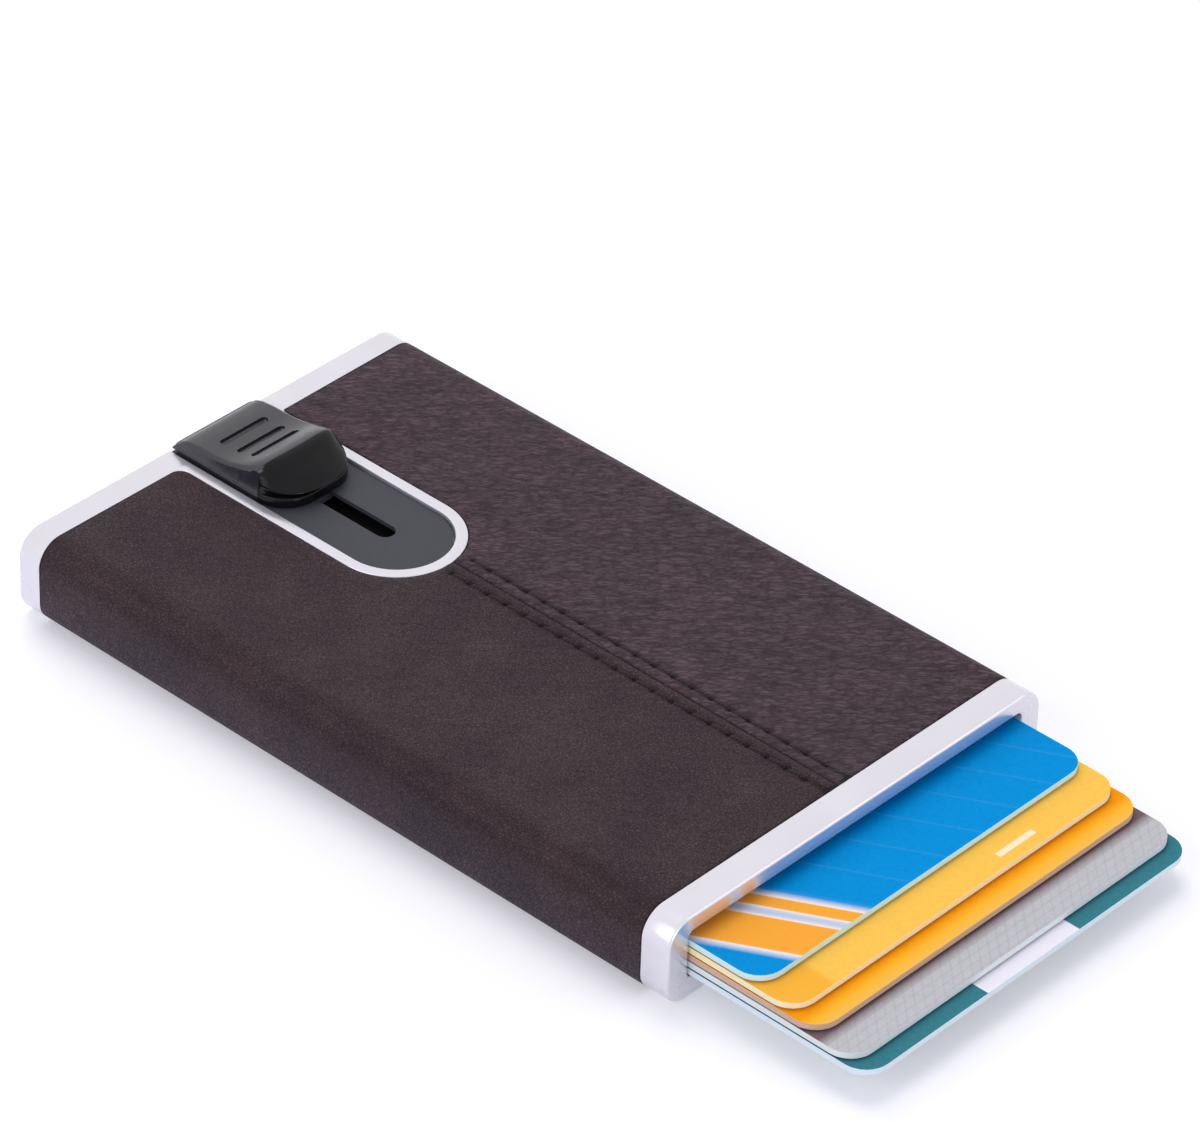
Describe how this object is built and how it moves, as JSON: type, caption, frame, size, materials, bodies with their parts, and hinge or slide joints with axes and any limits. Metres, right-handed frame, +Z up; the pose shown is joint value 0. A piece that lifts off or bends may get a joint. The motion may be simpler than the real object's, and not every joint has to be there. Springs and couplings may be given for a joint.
{
  "type": "pop up card holder",
  "caption": "Leather wrapped metal pop up card holder with satin end frames, a thumb slider in a U shaped track and a fan of bank cards in its mouth.",
  "frame": {"origin": "centre of the case's flat underside", "axes": "+X across the width, +Y from the mouth to the closed rear end, +Z up through the slider"},
  "size_m": [0.0608, 0.125, 0.0153],
  "materials": {
    "satin_metal": "satin",
    "sleeve_aluminium": "mill",
    "brown_leather": "fine grain",
    "slate_plate": "matte",
    "black_plastic": "satin",
    "grey_plastic": "matte",
    "blackened_steel": "phosphated",
    "pin_steel": "satin",
    "dark_felt": "felt",
    "blue_card": "gloss",
    "amber_card": "gloss",
    "orange_card": "gloss",
    "grey_card": "gloss",
    "teal_card": "gloss"
  },
  "bodies": {
    "case": {"inner_sleeve": "sleeve_aluminium", "leather_wrap": "brown_leather", "front_frame": "satin_metal", "rear_frame": "satin_metal", "track_plate": "slate_plate", "felt_strip_lower": "dark_felt", "felt_strip_upper": "dark_felt"},
    "slider": {"slider_button": "black_plastic", "guide_shoe": "grey_plastic", "ejector_arm": "blackened_steel", "stepped_ejector": "grey_plastic", "arm_pin_left": "pin_steel", "arm_pin_right": "pin_steel"},
    "card_1_body": {"card_1": "blue_card"},
    "card_2_body": {"card_2": "amber_card"},
    "card_3_body": {"card_3": "orange_card"},
    "card_4_body": {"card_4": "grey_card"},
    "card_5_body": {"card_5": "teal_card"}
  },
  "joints": [
    {"name": "slider_slide", "type": "slide", "parent": "case", "child": "slider", "axis": [0, -1, 0], "range_m": [0, 0.012]},
    {"name": "card_1_slide", "type": "slide", "parent": "case", "child": "card_1_body", "axis": [0, -1, 0], "range_m": [-0.011, 0.0556]},
    {"name": "card_2_slide", "type": "slide", "parent": "case", "child": "card_2_body", "axis": [0, -1, 0], "range_m": [-0.0157, 0.0509]},
    {"name": "card_3_slide", "type": "slide", "parent": "case", "child": "card_3_body", "axis": [0, -1, 0], "range_m": [-0.019, 0.0476]},
    {"name": "card_4_slide", "type": "slide", "parent": "case", "child": "card_4_body", "axis": [0, -1, 0], "range_m": [-0.0239, 0.0427]},
    {"name": "card_5_slide", "type": "slide", "parent": "case", "child": "card_5_body", "axis": [0, -1, 0], "range_m": [-0.02605, 0.04055]}
  ]
}
